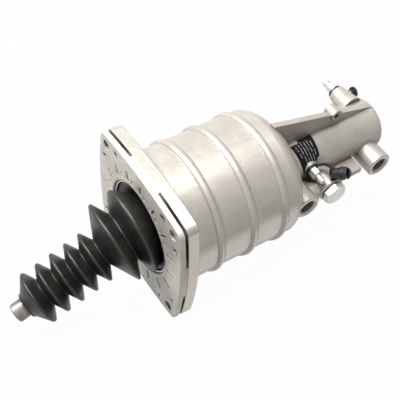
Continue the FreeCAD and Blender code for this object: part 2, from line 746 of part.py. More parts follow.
def make_relay_piston():
    x = VALVE_PORT[0]
    y0, y1 = RELAY_FLOOR_Y + 0.2, CONTROL[1] - CONTROL[0] - 0.2
    head = rod_y(RELAY_PISTON_R - RUN, y0, y1, x, PORT_Z)
    stem = rod_y(1.8, relay_disc_y() + 0.02, y0 + 1, x, PORT_Z)
    return head.fuse(stem).removeSplitter()


def make_relay_spring():
    """Coil along Y between the valve disc and the plug."""
    wire = 0.55
    y0 = relay_disc_y() - RELAY_DISC_T - wire - 0.05
    y1 = VALVE_PORT[1] + PLUG_LEN + wire + 0.05
    helix = Part.makeHelix((y0 - y1) / 3.5, y0 - y1, 4.2)
    section = Part.Wire(Part.makeCircle(wire, vec(4.2, 0, 0), vec(0, 1, 0)))
    coil = Part.Wire(helix).makePipeShell([section], True, True)
    coil.rotate(vec(0, 0, 0), vec(1, 0, 0), -90)
    coil.translate(vec(VALVE_PORT[0], y1, PORT_Z))
    return coil


def make_valve_plug():
    x, mouth = VALVE_PORT
    inner = mouth + PLUG_LEN
    shank = rod_y(PORT_WALL_R - RUN, mouth - WASHER_T - 1, inner, x, PORT_Z)
    shank = shank.cut(rod_y(RELAY_STEM_R + 0.1, inner - 6.0, inner + 1, x, PORT_Z))
    y0 = mouth - WASHER_T
    head = hexagon_y(PLUG_AF, y0, y0 - PLUG_HEAD_T, x, PORT_Z, PLUG_TURN_DEG)
    return head.fuse(shank).removeSplitter()


def make_plug_washer():
    x, mouth = VALVE_PORT
    disc = rod_y(WASHER_R, mouth - WASHER_T, mouth, x, PORT_Z)
    return disc.cut(rod_y(PORT_WALL_R, mouth - 5, mouth + 5, x, PORT_Z))


def make_bleed_screw():
    x, z = BLEED_X, BLEED_Z
    face = BLEED_FACE_Y - CAP_RING_T - 0.1
    hex_end, end = face - BLEED_HEX_H, face - BLEED_LEN
    seat = CONTROL[1] - CONTROL[0]
    shank = rod_y(BLEED_R, face, seat - 2.0, x, z)
    tip = cone(BLEED_R, 1.4, vec(x, seat - 2.0, z), vec(x, seat, z))
    head = hexagon_y(BLEED_HEX_AF, face, hex_end, x, z, 10.0)
    neck = rod_y(BLEED_NECK_R, hex_end, end + 4.3, x, z)
    barb = cone(BLEED_NECK_R + 0.8, BLEED_NECK_R + 0.1, vec(x, end + 4.3, z), vec(x, end, z))
    body = join([shank, tip, head, neck, barb])
    return body.cut(rod_y(1.3, end - 1.0, seat - 3.4, x, z))


def cap_frame():
    start = vec(*CAP_START)
    return start, (vec(*CAP_END) - start).normalize()


def make_bleed_cap():
    y1 = BLEED_FACE_Y - 0.05
    y0 = y1 - CAP_RING_T + 0.05
    hole = rod_y(BLEED_R + 0.1, y0 - 1, y1 + 1, BLEED_X, BLEED_Z)
    ring = rod_y(CAP_RING_R, y0, y1, BLEED_X, BLEED_Z).cut(hole)
    start, along = cap_frame()
    neck = start + along * CAP_BODY_LEN
    crown = neck + along * CAP_HEAD_LEN
    body = rod(CAP_BODY_R, start, neck)
    head = rod(CAP_HEAD_R, neck, crown)
    dome = Part.makeSphere(CAP_HEAD_R, crown)
    dome = dome.common(rod(CAP_HEAD_R + 1, crown, start + along * CAP_LEN))
    shoulder = cone(CAP_BODY_R, CAP_HEAD_R, neck - along * 1.5, neck)
    pocket = rod(BLEED_NECK_R + 0.6, start - along * 1, neck + along * 2)
    cap = join([body, shoulder, head, dome]).cut(pocket)
    stops = [vec(*p) for p in zip(STRAP_X, STRAP_Y, STRAP_Z)]
    stops.append(start + along * 2.5 + vec(0, 0, CAP_BODY_R - 0.4))
    path = Part.BSplineCurve()
    path.interpolate(stops)
    spine = Part.Wire(path.toShape())
    tangent = path.tangent(path.FirstParameter)[0]
    band = spine.makePipeShell([strap_section(stops[0], tangent)], True, False)
    return join([ring, cap, band])


def strap_section(centre, tangent):
    """Flat rectangle across the strap's path."""
    wide = vec(0.85, 0.45, -0.3)
    wide = wide - tangent * wide.dot(tangent)
    wide.normalize()
    thick = tangent.cross(wide)
    a, b = wide * STRAP_HALF[0], thick * STRAP_HALF[1]
    corners = [centre + a + b, centre - a + b, centre - a - b, centre + a - b]
    return Part.makePolygon(corners + corners[:1])


def make_far_nipple():
    x, z = FAR_X, FAR_Z
    y0 = FAR_MOUTH_Y + COLLAR_T + RUN
    hex_end, end = y0 + NIPPLE_HEX_H, y0 + NIPPLE_LEN
    seat = FAR_SEAT_Y + 0.2
    shank = rod_y(FAR_THREAD_R, seat + 1.8, y0, x, z)
    tip = cone(1.5, FAR_THREAD_R, vec(x, seat, z), vec(x, seat + 1.8, z))
    head = hexagon_y(NIPPLE_AF, y0, hex_end, x, z, 20.0)
    neck = rod_y(NIPPLE_NECK_R, hex_end, end - 5.0, x, z)
    barb = cone(NIPPLE_NECK_R + 0.8, NIPPLE_NECK_R, vec(x, end - 5.0, z), vec(x, end, z))
    body = join([shank, tip, head, neck, barb])
    return body.cut(rod_y(1.4, seat + 4.8, end + 1.0, x, z))


def make_nipple_collar():
    ring = rod_y(COLLAR_R, FAR_MOUTH_Y + 0.02, FAR_MOUTH_Y + COLLAR_T, FAR_X, FAR_Z)
    return ring.cut(rod_y(FAR_THREAD_R + 0.1, FAR_MOUTH_Y - 1, FAR_MOUTH_Y + 5, FAR_X, FAR_Z))


def make_vent_cap():
    y, z = VENT_POS
    r, rim_r = VENT_CAP_R
    start, end = VENT_CAP_X
    body = rod_x(r, start, end - 1, y, z)
    rim = rod_x(rim_r, end - 2.0, end, y, z)
    hollow = rod_x(VENT_R + RUN, start - 1, end - 2.3, y, z)
    return body.fuse(rim).removeSplitter().cut(hollow)


def make_data_tag():
    a, b = TAG_SIZE[0] / 2, TAG_SIZE[1] / 2
    sheet = tube_x(REAR_R + TAG_T, REAR_R + 0.03, TAG_X - 3 * a, TAG_X + 3 * a)
    plate = box(-a, a, -b, b, REAR_R / 2, REAR_R * 2)
    upright = [e for e in plate.Edges if abs(e.Length - REAR_R * 1.5) < 1e-6]
    plate = plate.makeFillet(TAG_CORNER_R, upright)
    plate.rotate(vec(0, 0, 0), vec(0, 0, 1), TAG_TURN_DEG)
    plate.rotate(vec(0, 0, 0), vec(1, 0, 0), TAG_TILT_DEG)
    plate.translate(vec(TAG_X, 0, 0))
    tag = sheet.common(plate)
    tag = tag.cut(rod_y(BLEED_BOSS_R + SLIP, -2 * REAR_R, 0, BLEED_X, BLEED_Z))
    tag = tag.cut(box(TAG_X - 3 * a, TAG_X + 3 * a, WEB_Y[0] - SLIP, REAR_R, REAR_R / 2, REAR_R * 2))
    return tag.cut(box(PAD[0] - SLIP, PAD[1] + SLIP, PAD[2] - SLIP, PAD[3], PAD[4], PAD[5] + REAR_R))


PIECES = {
    "servo_housing": make_housing,
    "front_cover": make_cover,
    "cover_seal": make_cover_seal,
    "cover_screws": make_cover_screws,
    "gaiter": make_gaiter,
    "gaiter_clip": make_gaiter_clip,
    "piston": make_piston,
    "piston_seal": make_piston_seal,
    "piston_guide_ring": make_piston_guide_ring,
    "return_spring": make_return_spring,
    "rod_seat": make_rod_seat,
    "rod_retainer": make_rod_retainer,
    "push_rod": make_push_rod,
    "hydraulic_plunger": make_plunger,
    "plunger_seal": make_plunger_seal,
    "plunger_guide": make_plunger_guide,
    "stem_seal": make_stem_seal,
    "guide_circlip": make_guide_circlip,
    "relay_seat": make_relay_seat,
    "relay_valve": make_relay_valve,
    "relay_piston": make_relay_piston,
    "relay_spring": make_relay_spring,
    "valve_plug": make_valve_plug,
    "plug_washer": make_plug_washer,
    "bleed_screw": make_bleed_screw,
    "bleed_cap": make_bleed_cap,
    "far_nipple": make_far_nipple,
    "nipple_collar": make_nipple_collar,
    "vent_cap": make_vent_cap,
    "data_tag": make_data_tag,
}

for name, build in PIECES.items():
    shape = build()
    count = len(shape.Solids)
    print(name, "solids", count, "valid", shape.isValid(), "volume", round(shape.Volume, 1))
    if count == 1:
        shape = shape.Solids[0]
    shape.exportStep("parts/" + name + ".step")
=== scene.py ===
import json
import math

import bmesh
import bpy
from mathutils import Matrix, Vector


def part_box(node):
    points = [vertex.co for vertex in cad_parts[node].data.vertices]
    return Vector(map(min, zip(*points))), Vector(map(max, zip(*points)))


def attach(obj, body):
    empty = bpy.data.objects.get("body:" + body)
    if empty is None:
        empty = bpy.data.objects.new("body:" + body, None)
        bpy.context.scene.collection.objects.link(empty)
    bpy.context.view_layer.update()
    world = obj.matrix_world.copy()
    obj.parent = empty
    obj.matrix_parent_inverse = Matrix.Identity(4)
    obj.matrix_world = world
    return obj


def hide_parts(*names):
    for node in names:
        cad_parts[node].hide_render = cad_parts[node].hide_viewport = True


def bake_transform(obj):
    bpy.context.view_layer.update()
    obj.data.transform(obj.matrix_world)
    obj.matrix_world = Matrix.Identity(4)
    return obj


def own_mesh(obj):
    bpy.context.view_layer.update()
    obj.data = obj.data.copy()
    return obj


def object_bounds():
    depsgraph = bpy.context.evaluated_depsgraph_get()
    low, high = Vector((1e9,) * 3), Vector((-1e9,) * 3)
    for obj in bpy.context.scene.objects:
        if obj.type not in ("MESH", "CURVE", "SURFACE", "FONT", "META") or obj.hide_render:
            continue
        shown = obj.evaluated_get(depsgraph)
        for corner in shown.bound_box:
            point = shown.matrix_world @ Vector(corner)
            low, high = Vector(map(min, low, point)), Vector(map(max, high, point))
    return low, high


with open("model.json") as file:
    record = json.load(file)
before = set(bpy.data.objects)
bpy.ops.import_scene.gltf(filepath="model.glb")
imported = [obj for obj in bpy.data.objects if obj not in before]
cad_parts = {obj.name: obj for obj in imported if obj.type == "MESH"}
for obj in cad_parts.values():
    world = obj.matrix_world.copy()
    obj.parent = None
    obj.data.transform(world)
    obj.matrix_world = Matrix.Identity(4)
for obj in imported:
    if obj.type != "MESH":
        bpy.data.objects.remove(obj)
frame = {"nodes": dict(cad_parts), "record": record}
nodes = frame["nodes"]
cad_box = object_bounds()

# Everything is in metres in the CAD frame: X runs from the push rod end to the rear, Z is up.

# Push rod axis and the gaiter's small folds along it, measured from the ball's centre
PIVOT = Vector((-0.006, 0.0, 0.0))
ROD_DROP_DEG = 20.5
ROD_GROOVE_R = 0.009
FOLDS = (0.1061, 0.0903, 0.0745, 0.0587, 0.0429)
HALF_PITCH = 0.0079
FOLD_R = 0.0272
VALLEY_R = 0.0144
LIP_END = 0.1198
LIP_LEN = 0.0068
WALL = 0.0018

# Rings where the gaiter turns from the rod's line to the main axis: reach, centre x and z, tilt
TURN_RINGS = (
    (0.0198, -0.0249, -0.0059, 18.1),
    (0.0107, -0.0162, -0.0031, 14.5),
    (0.0016, -0.0074, -0.0007, 10.3),
    (-0.0154, 0.0094, 0.0, 0.0),
)
BIG_FOLD_R = 0.0428
BIG_VALLEY_R = 0.025
MOUTH_VALLEY = (0.0094, 0.030)
SHOULDER_R = 0.0421

# Groove in the cover's opening, ports and the tag
GROOVE_R = 0.0503
GROOVE_X = (0.0046, 0.0072)
PORT_Z = -0.010
PORTS = {"front": (0.161, -0.057), "rear": (0.261, -0.050)}
PORT_WALL_R = 0.00825
PORT_MOUTH = 0.0019
PORT_DEPTH = 0.014
THREAD_PITCH = 0.0015
THREAD_H = 0.0006
REAR_R = 0.028
TAG_R = REAR_R + 0.00075
TAG_T = 0.0007

# Tag's corners on the rear cylinder, x and the angle from the top in degrees: left, top, right, bottom
TAG_CORNERS = ((0.1684, 12.0), (0.1958, 6.5), (0.1956, 54.0), (0.1750, 81.5))
TAG_SIDE = 0.028
TAG_CORNER_R = 0.0011

# What the tag is cut around: the bleed screw's boss, the pad and the web
BLEED_BOSS = (0.1835, 0.007, 0.0083)
PAD_X, PAD_Y = (0.1657, 0.1773), (-0.0088, -0.0027)
WEB_FACE_Y = -0.0043

# Relief between the cover and the flange, where a band of painted shadow and grime is laid
GAP_X = (0.0051, 0.0081)
CONTACT_R = 0.0785
GAP_R = CONTACT_R - 0.0006

# Small pockets round the cover's opening, on the face in front of FRONT_X
POCKET_R = (0.0522, 0.0580)
POCKET_COUNT = 32
POCKET_DEPTH = 0.0009
FRONT_X = 0.0004

# Turned seats of the port bosses: faces beyond this Y that look toward -Y
SEAT_Y = -0.0455
SEAT_BRIGHTNESS = 1.9


def dropped(degrees):
    """Direction toward the rod's end, turned down from the main axis."""
    a = math.radians(degrees)
    return Vector((-math.cos(a), 0.0, -math.sin(a)))


# Materials

class Shader:
    """A node material with a Principled shader, built up by short calls."""

    def __init__(self, name, base, roughness, metallic=0.0, **sockets):
        self.material = bpy.data.materials.new(name)
        self.material.use_nodes = True
        self.tree = self.material.node_tree
        self.tree.nodes.clear()
        self.out = self.node("ShaderNodeOutputMaterial")
        self.bsdf = self.node("ShaderNodeBsdfPrincipled")
        self.link(self.bsdf.outputs[0], self.out.inputs["Surface"])
        self.bsdf.inputs["Base Color"].default_value = (*base, 1.0)
        self.bsdf.inputs["Roughness"].default_value = roughness
        self.bsdf.inputs["Metallic"].default_value = metallic
        for socket, value in sockets.items():
            self.bsdf.inputs[socket.replace("_", " ")].default_value = value
        self.place = self.node("ShaderNodeTexCoord").outputs["Object"]

    def node(self, kind, **settings):
        made = self.tree.nodes.new(kind)
        for key, value in settings.items():
            setattr(made, key, value)
        return made

    def link(self, a, b):
        self.tree.links.new(a, b)

    def noise(self, scale, detail=3.0, rough=0.55, place=None, offset=0.0):
        made = self.node("ShaderNodeTexNoise")
        made.inputs["Scale"].default_value = scale
        made.inputs["Detail"].default_value = detail
        made.inputs["Roughness"].default_value = rough
        shift = self.node("ShaderNodeMapping")
        shift.inputs["Location"].default_value = (offset, offset * 0.7, offset * 0.4)
        self.link(place or self.place, shift.inputs["Vector"])
        self.link(shift.outputs[0], made.inputs["Vector"])
        return made.outputs["Fac"]

    def cells(self, scale, feature="F1"):
        made = self.node("ShaderNodeTexVoronoi", feature=feature)
        made.inputs["Scale"].default_value = scale
        self.link(self.place, made.inputs["Vector"])
        return made.outputs["Distance"]

    def ramp(self, value, low, high, out_low=0.0, out_high=1.0):
        made = self.node("ShaderNodeMapRange")
        made.inputs["From Min"].default_value = low
        made.inputs["From Max"].default_value = high
        made.inputs["To Min"].default_value = out_low
        made.inputs["To Max"].default_value = out_high
        self.link(value, made.inputs["Value"])
        return made.outputs["Result"]

    def math(self, operation, a, b):
        made = self.node("ShaderNodeMath", operation=operation)
        for socket, value in zip(made.inputs, (a, b)):
            if isinstance(value, (int, float)):
                socket.default_value = value
            else:
                self.link(value, socket)
        return made.outputs[0]

    def mix(self, factor, a, b):
        """Colour between a and b; each is a triple or another node's output."""
        made = self.node("ShaderNodeMix", data_type="RGBA")
        if isinstance(factor, (int, float)):
            made.inputs["Factor"].default_value = factor
        else:
            self.link(factor, made.inputs["Factor"])
        for key, value in (("A", a), ("B", b)):
            socket = [s for s in made.inputs if s.name == key and s.type == "RGBA"][0]
            if isinstance(value, tuple):
                socket.default_value = (*value, 1.0)
            else:
                self.link(value, socket)
        return [s for s in made.outputs if s.type == "RGBA"][0]

    def crevice(self, distance, low=0.35, high=0.85):
        """1 in corners and recesses, 0 in the open."""
        made = self.node("ShaderNodeAmbientOcclusion", samples=8)
        made.inputs["Distance"].default_value = distance
        return self.ramp(made.outputs["AO"], low, high, 1.0, 0.0)

    def edge(self, radius, low=0.02, high=0.25):
        """1 along sharp edges, 0 on the faces between them."""
        bevel = self.node("ShaderNodeBevel", samples=6)
        bevel.inputs["Radius"].default_value = radius
        flat = self.node("ShaderNodeNewGeometry")
        dot = self.node("ShaderNodeVectorMath", operation="DOT_PRODUCT")
        self.link(bevel.outputs[0], dot.inputs[0])
        self.link(flat.outputs["Normal"], dot.inputs[1])
        return self.ramp(self.math("SUBTRACT", 1.0, dot.outputs["Value"]), low, high)

    def base(self, colour):
        self.link(colour, self.bsdf.inputs["Base Color"])

    def roughness(self, value):
        self.link(value, self.bsdf.inputs["Roughness"])

    def bump(self, height, strength, distance, below=None):
        made = self.node("ShaderNodeBump")
        made.inputs["Strength"].default_value = strength
        made.inputs["Distance"].default_value = distance
        self.link(height, made.inputs["Height"])
        if below is not None:
            self.link(below, made.inputs["Normal"])
        self.link(made.outputs[0], self.bsdf.inputs["Normal"])
        return made.outputs[0]

    def rounded(self, radius):
        """Normal with its sharp edges eased, to lie under the bumps."""
        bevel = self.node("ShaderNodeBevel", samples=6)
        bevel.inputs["Radius"].default_value = radius
        self.link(bevel.outputs[0], self.bsdf.inputs["Normal"])
        return bevel.outputs[0]


def pockets(s, where, off_axis):
    """1 in the small cast pockets round the cover's opening, on its front face."""
    angle = s.math("ARCTAN2", where.outputs["Z"], where.outputs["Y"])
    wave = s.math("COSINE", s.math("MULTIPLY", angle, POCKET_COUNT), 0.0)
    inner = s.ramp(off_axis, POCKET_R[0], POCKET_R[0] + 0.0012)
    outer = s.ramp(off_axis, POCKET_R[1] - 0.0016, POCKET_R[1], 1.0, 0.0)
    front = s.math("LESS_THAN", where.outputs["X"], FRONT_X)
    shape = s.math("MULTIPLY", s.math("MULTIPLY", inner, outer), s.ramp(wave, 0.15, 0.75))
    return s.math("MULTIPLY", shape, front)


def cast_metal(name, base, shade, dirt_and_shade, metallic, rough, grain, edge_wear_and_highlight=0.45, machined_y=None, pocketed=False):
    """Bead blasted casting: mottling, grain, pits, painted shade in corners, painted shadow and grime in the
    gap, edges partly rubbed and partly painted highlight.

    machined_y brightens every face beyond that Y that looks toward -Y. That is meant for the port bosses'
    seats, but the barrel's flank meets it too and shows a pale patch from the side.
    """
    s = Shader(name, base, rough, metallic, Specular_IOR_Level=0.3)
    cloud = s.ramp(s.noise(38, 4), 0.35, 0.68)
    colour = s.mix(cloud, base, shade)
    colour = s.mix(s.ramp(s.noise(420, 3, offset=2.0), 0.55, 0.75, 0.0, 0.35), colour, shade)
    colour = s.mix(s.ramp(s.noise(1300, 2, offset=7.0), 0.56, 0.70, 0.0, 0.40), colour, shade)
    colour = s.mix(s.ramp(s.noise(330, 4, 0.65, offset=9.0), 0.56, 0.72, 0.0, 0.20), colour, dirt_and_shade)
    # Pale edges: partly rubbed wear, partly painted highlight; the cover's slot and hole rims are made
    # brighter.
    pale = tuple(min(1.0, c * 1.25) for c in base)
    colour = s.mix(s.math("MULTIPLY", s.edge(0.0009), edge_wear_and_highlight), colour, pale)
    where = s.node("ShaderNodeSeparateXYZ")
    s.link(s.place, where.inputs[0])
    if machined_y is not None:
        face = s.node("ShaderNodeNewGeometry")
        facing = s.node("ShaderNodeSeparateXYZ")
        s.link(face.outputs["True Normal"], facing.inputs[0])
        seat = s.math("MULTIPLY", s.ramp(where.outputs["Y"], machined_y - 0.0005, machined_y, 1.0, 0.0),
                      s.ramp(facing.outputs["Y"], -0.99, -0.95, 1.0, 0.0))
        bright = tuple(min(1.0, c * SEAT_BRIGHTNESS) for c in base)
        colour = s.mix(s.math("MULTIPLY", seat, 0.75), colour, bright)
    # Painted shade: corners and recesses darkened toward the dirt colour by ambient occlusion.
    colour = s.mix(s.math("MULTIPLY", s.crevice(0.012), 0.6), colour, dirt_and_shade)
    # Painted shade: deep recesses such as the port bores darkened nearly to black.
    deep_painted_shade = tuple(c * 0.22 for c in dirt_and_shade)
    colour = s.mix(s.math("MULTIPLY", s.crevice(0.009, 0.08, 0.34), 0.9), colour, deep_painted_shade)
    off_axis = s.math("SQRT", s.math("ADD", s.math("POWER", where.outputs["Y"], 2.0),
                                     s.math("POWER", where.outputs["Z"], 2.0)), 0.0)
    # Painted shadow and grime: the contact wall in the gap between cover and flange turned nearly black.
    in_gap = s.math("MULTIPLY", s.math("GREATER_THAN", where.outputs["X"], GAP_X[0]),
                    s.math("LESS_THAN", where.outputs["X"], GAP_X[1]))
    in_gap = s.math("MULTIPLY", in_gap, s.math("GREATER_THAN", off_axis, GAP_R))
    s.base(s.mix(s.math("MULTIPLY", in_gap, 0.9), colour, (0.020, 0.018, 0.016)))
    s.roughness(s.ramp(s.noise(160, 3, offset=5.0), 0.3, 0.7, rough - 0.06, rough + 0.08))
    normal = s.rounded(0.0007)
    normal = s.bump(s.noise(grain, 2, 0.7), 0.40, 0.00014, normal)
    if pocketed:
        normal = s.bump(s.math("SUBTRACT", 1.0, pockets(s, where, off_axis)), 0.9, POCKET_DEPTH, normal)
    pits = s.ramp(s.cells(520), 0.0, 0.16)
    s.bump(pits, 0.14, 0.0001, normal)
    return s.material


def plated_steel(name, base, tint, rough):
    """Zinc plating with a slight colour drift, fine scratches, worn corners and painted shade in its
    recesses.
    """
    s = Shader(name, base, rough, 1.0)
    colour = s.mix(s.ramp(s.noise(120, 3), 0.4, 0.65), base, tint)
    # Painted shade: corners and recesses darkened toward a dark brown.
    colour = s.mix(s.math("MULTIPLY", s.crevice(0.004), 0.7), colour, (0.10, 0.09, 0.08))
    colour = s.mix(s.math("MULTIPLY", s.edge(0.0005), 0.5), colour, (0.86, 0.86, 0.84))
    s.base(colour)
    s.roughness(s.ramp(s.noise(700, 4, offset=3.0), 0.3, 0.7, rough - 0.07, rough + 0.12))
    s.bump(s.noise(2200, 2, offset=1.0), 0.12, 0.00006, s.rounded(0.0003))
    return s.material


def turned_steel(name, base, tint, rough, axis):
    """Bar with fine rings cut square to its axis, faint heat tint and painted shade in its recesses."""
    s = Shader(name, base, rough, 1.0)
    along = s.node("ShaderNodeVectorMath", operation="DOT_PRODUCT")
    s.link(s.place, along.inputs[0])
    along.inputs[1].default_value = axis
    rings = s.node("ShaderNodeTexNoise", noise_dimensions="1D")
    rings.inputs["Scale"].default_value = 2600
    rings.inputs["Detail"].default_value = 2.0
    s.link(along.outputs["Value"], rings.inputs["W"])
    colour = s.mix(s.ramp(s.noise(90, 3), 0.42, 0.66), base, tint)
    # Painted shade: corners and recesses darkened toward a dark brown.
    colour = s.mix(s.math("MULTIPLY", s.crevice(0.005), 0.6), colour, (0.08, 0.07, 0.06))
    s.base(colour)
    s.roughness(s.ramp(rings.outputs["Fac"], 0.3, 0.7, rough - 0.05, rough + 0.12))
    s.bump(rings.outputs["Fac"], 0.10, 0.00004, s.rounded(0.0004))
    return s.material


def black_rubber(name, base, dust, rough):
    """Moulded rubber: dull bloom that comes and goes, fine skin and dust in its folds."""
    s = Shader(name, base, rough, 0.0, Specular_IOR_Level=0.42)
    bloom = s.ramp(s.noise(55, 4), 0.45, 0.75, 0.0, 0.5)
    colour = s.mix(bloom, base, dust)
    colour = s.mix(s.ramp(s.noise(900, 2, offset=4.0), 0.62, 0.74, 0.0, 0.3), colour, dust)
    s.base(colour)
    s.roughness(s.ramp(s.noise(140, 3, offset=2.0), 0.3, 0.7, rough - 0.06, rough + 0.10))
    s.bump(s.noise(1500, 3, 0.7), 0.16, 0.00008)
    return s.material


def printed_film(name):
    """Black film of the tag, with scuffs and uneven sheen."""
    s = Shader(name, (0.010, 0.010, 0.011), 0.45, 0.0, Specular_IOR_Level=0.08)
    scuff = s.ramp(s.noise(260, 4), 0.6, 0.75, 0.0, 0.35)
    s.base(s.mix(scuff, (0.008, 0.008, 0.009), (0.035, 0.035, 0.035)))
    s.roughness(s.ramp(s.noise(90, 3, offset=1.5), 0.3, 0.7, 0.40, 0.52))
    s.bump(s.noise(300, 2), 0.08, 0.0001)
    return s.material


def pale_print(name):
    """Worn pale ink of the tag's bars."""
    s = Shader(name, (0.62, 0.62, 0.6), 0.5)
    s.base(s.mix(s.ramp(s.noise(1800, 3), 0.46, 0.60), (0.34, 0.34, 0.33), (0.05, 0.05, 0.05)))
    s.bump(s.noise(1500, 2), 0.1, 0.00003)
    return s.material


def bearing_plastic(name):
    s = Shader(name, (0.60, 0.53, 0.36), 0.45)
    s.base(s.mix(s.ramp(s.noise(300, 3), 0.4, 0.7), (0.60, 0.53, 0.36), (0.50, 0.43, 0.29)))
    s.bump(s.noise(1200, 2), 0.1, 0.00005)
    return s.material


MATERIALS = {
    "cast_body": cast_metal("cast_body", (0.44, 0.412, 0.374), (0.38, 0.352, 0.314), (0.14, 0.118, 0.088),
                            0.50, 0.40, 1900, machined_y=SEAT_Y),
    "cover": cast_metal("cover", (0.63, 0.60, 0.545), (0.49, 0.465, 0.415), (0.17, 0.15, 0.12),
                        0.34, 0.42, 2300, edge_wear_and_highlight=0.75, pocketed=True),
    "bare_metal": plated_steel("bare_metal", (0.72, 0.72, 0.71), (0.66, 0.66, 0.65), 0.30),
    "zinc_steel": plated_steel("zinc_steel", (0.66, 0.68, 0.65), (0.56, 0.59, 0.55), 0.50),
    "rod_steel": turned_steel("rod_steel", (0.25, 0.235, 0.215), (0.18, 0.155, 0.14), 0.40,
                              tuple(dropped(ROD_DROP_DEG))),
    "spring_steel": plated_steel("spring_steel", (0.30, 0.30, 0.31), (0.22, 0.21, 0.21), 0.34),
    "dark_steel": plated_steel("dark_steel", (0.13, 0.125, 0.12), (0.09, 0.085, 0.08), 0.42),
    "rubber_black": black_rubber("rubber_black", (0.0085, 0.0078, 0.0068), (0.034, 0.032, 0.027), 0.40),
    "bearing_plastic": bearing_plastic("bearing_plastic"),
    "tag_film": printed_film("tag_film"),
}


def dress_cad_nodes():
    """Gives every CAD node the procedural material of its record slot; the cover's screws are paler."""
    for part in frame["record"]["subparts"]:
        obj = nodes[part["node"]]
        obj.data.materials.clear()
        obj.data.materials.append(MATERIALS[part["material_slot"]])
    screw_steel = plated_steel("screw_steel", (0.50, 0.48, 0.44), (0.38, 0.36, 0.33), 0.42)
    nodes["cover_screws"].data.materials[0] = screw_steel


# Mesh helpers

def mesh_object(name, vertices, faces, material, smooth=True):
    mesh = bpy.data.meshes.new(name)
    mesh.from_pydata([tuple(v) for v in vertices], [], faces)
    mesh.update()
    mesh.polygons.foreach_set("use_smooth", [smooth] * len(mesh.polygons))
    mesh.materials.append(material)
    obj = bpy.data.objects.new(name, mesh)
    bpy.context.scene.collection.objects.link(obj)
    return obj


def ring_skin(name, rings, material):
    """Closed skin over rings of equal point counts, in order; the last ring joins the first."""
    count = len(rings[0])
    vertices = [p for ring in rings for p in ring]
    faces = []
    for i in range(len(rings)):
        a, b = i * count, ((i + 1) % len(rings)) * count
        for k in range(count):
            n = (k + 1) % count
            faces.append((a + k, a + n, b + n, b + k))
    obj = mesh_object(name, vertices, faces, material)
    tidy = bmesh.new()
    tidy.from_mesh(obj.data)
    bmesh.ops.recalc_face_normals(tidy, faces=tidy.faces)
    tidy.to_mesh(obj.data)
    tidy.free()
    return obj


def circle(centre, axis, radius, count):
    """Points of a circle; equal angles start from the same side for every axis near X."""
    side = axis.cross(Vector((0, 0, 1))).normalized()
    up = side.cross(axis).normalized()
    points = []
    for k in range(count):
        a = 2 * math.pi * k / count
        points.append(centre + side * (radius * math.cos(a)) + up * (radius * math.sin(a)))
    return points


def rounded_line(points, radii, steps=6):
    """Polyline of (s, r) points with each corner replaced by an arc of the given radius."""
    line = [Vector(points[0])]
    for i in range(1, len(points) - 1):
        p, a, b = Vector(points[i]), Vector(points[i - 1]), Vector(points[i + 1])
        u, v = (a - p).normalized(), (b - p).normalized()
        half = u.angle(v) / 2
        reach = min(radii[i] / math.tan(half), 0.48 * (a - p).length, 0.48 * (b - p).length)
        r = reach * math.tan(half)
        centre = p + (u + v).normalized() * (r / math.sin(half))
        start, end = p + u * reach - centre, p + v * reach - centre
        turn = start.angle_signed(end)
        for k in range(steps + 1):
            spin = Matrix.Rotation(-turn * k / steps, 2)
            line.append(centre + spin @ start)
    line.append(Vector(points[-1]))
    return line


# Gaiter

def station(reach):
    """Centre and axis of the gaiter's ring at that reach from the ball's centre."""
    last = FOLDS[-1] - HALF_PITCH
    rod = dropped(ROD_DROP_DEG)
    if reach >= last:
        return PIVOT + rod * reach, rod
    start = PIVOT + rod * last
    rings = ((last, start.x, start.z, ROD_DROP_DEG),) + TURN_RINGS
    for a, b in zip(rings, rings[1:]):
        if reach >= b[0] or b is rings[-1]:
            t = (a[0] - reach) / (a[0] - b[0])
            x, z, tilt = (a[i] + (b[i] - a[i]) * t for i in (1, 2, 3))
            return Vector((x, 0.0, z)), dropped(tilt)


def gaiter_ring(reach, r, count=144):
    centre, axis = station(reach)
    return circle(centre, axis, r, count)


def folds_outline():
    """Outer profile from the lip over all folds to the mouth's own valley, with corner radii."""
    points = [(LIP_END, ROD_GROOVE_R + 0.0001), (LIP_END, 0.0124), (LIP_END - 0.0022, 0.0131)]
    radii = [0, 0.0006, 0.0030]
    for s in FOLDS:
        points += [(s, FOLD_R + 0.0016), (s - HALF_PITCH, VALLEY_R - 0.0003)]
        radii += [0.0018, 0.0007]
    big = [ring[0] for ring in TURN_RINGS]
    points += [(big[0], BIG_FOLD_R + 0.0018), (big[1], BIG_VALLEY_R - 0.0002), (big[2], BIG_FOLD_R + 0.0018)]
    radii += [0.0019, 0.0009, 0.0019]
    points.append((big[3], MOUTH_VALLEY[1]))
    radii.append(0)
    return points, radii


def folds_lining():
    """Inner profile from the mouth's valley back to the lip's bore."""
    points = [(TURN_RINGS[3][0] + 0.0010, MOUTH_VALLEY[1] - WALL - 0.0004)]
    points += [(TURN_RINGS[2][0], BIG_FOLD_R - WALL - 0.0014)]
    points += [(TURN_RINGS[1][0], BIG_VALLEY_R - WALL - 0.0003)]
    points += [(TURN_RINGS[0][0], BIG_FOLD_R - WALL - 0.0014)]
    for s in reversed(FOLDS):
        points += [(s - HALF_PITCH, VALLEY_R - WALL - 0.0003), (s, FOLD_R - WALL - 0.0010)]
    points += [(LIP_END - LIP_LEN, ROD_GROOVE_R + 0.0001)]
    return points


def finer(points, longest):
    """The polyline with points added so that no step is longer than that."""
    line = [points[0]]
    for a, b in zip(points, points[1:]):
        steps = max(1, int(math.dist(a, b) / longest))
        line += [tuple(a[i] + (b[i] - a[i]) * k / steps for i in (0, 1)) for k in range(1, steps + 1)]
    return line


